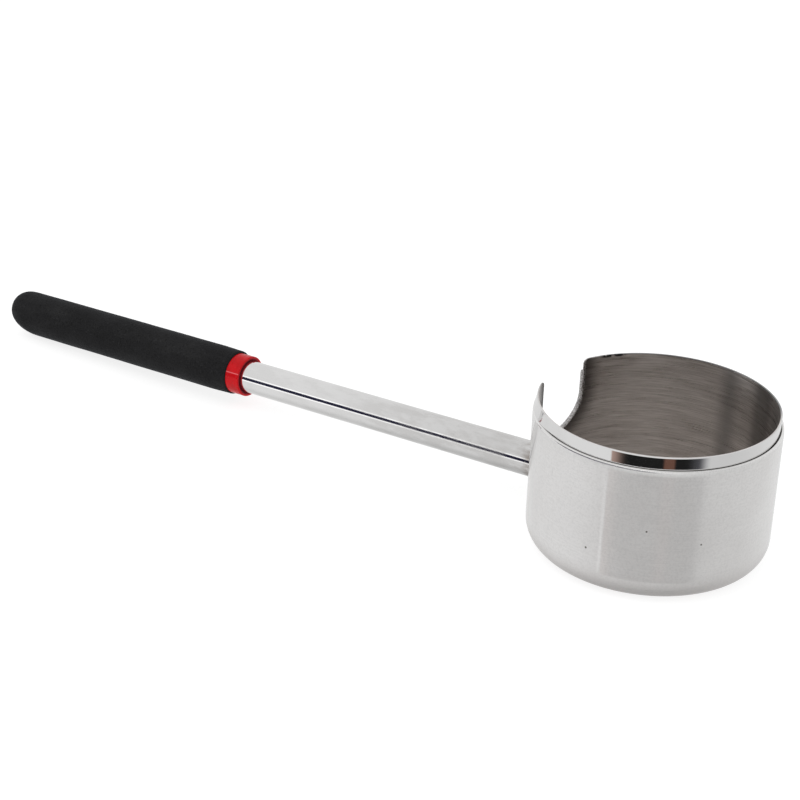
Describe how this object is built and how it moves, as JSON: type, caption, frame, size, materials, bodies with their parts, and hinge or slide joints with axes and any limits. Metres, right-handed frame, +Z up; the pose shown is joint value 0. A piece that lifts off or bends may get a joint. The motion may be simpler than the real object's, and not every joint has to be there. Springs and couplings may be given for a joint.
{
  "type": "candle melting pot",
  "caption": "Long-handled double-walled steel melting pot: notched rim, stepped neck, welded tube handle, plastic collar and closed-end foam grip.",
  "frame": {"origin": "centre of the pot's flat base, on the surface that it stands on", "axes": "+Z up along the pot's axis; -X from the pot towards the end of the handle; +Y completes the right-handed set"},
  "size_m": [0.4362, 0.106, 0.0678],
  "materials": {
    "cup_steel": "polished outside the neck, brushed round the inside",
    "jacket_steel": "satin",
    "tube_steel": "polished tube with faint handling marks",
    "weld_metal": "ground weld, faintly heat-tinted",
    "collar_plastic": "gloss red moulding",
    "plug_plastic": "matte black moulding",
    "grip_foam": "matte fine-celled black foam"
  },
  "bodies": {
    "root": {"inner_cup": "cup_steel", "outer_jacket": "jacket_steel", "handle_tube": "tube_steel", "weld_bead": "weld_metal", "collar": "collar_plastic", "tube_end_plug": "plug_plastic", "foam_grip": "grip_foam"}
  },
  "joints": []
}
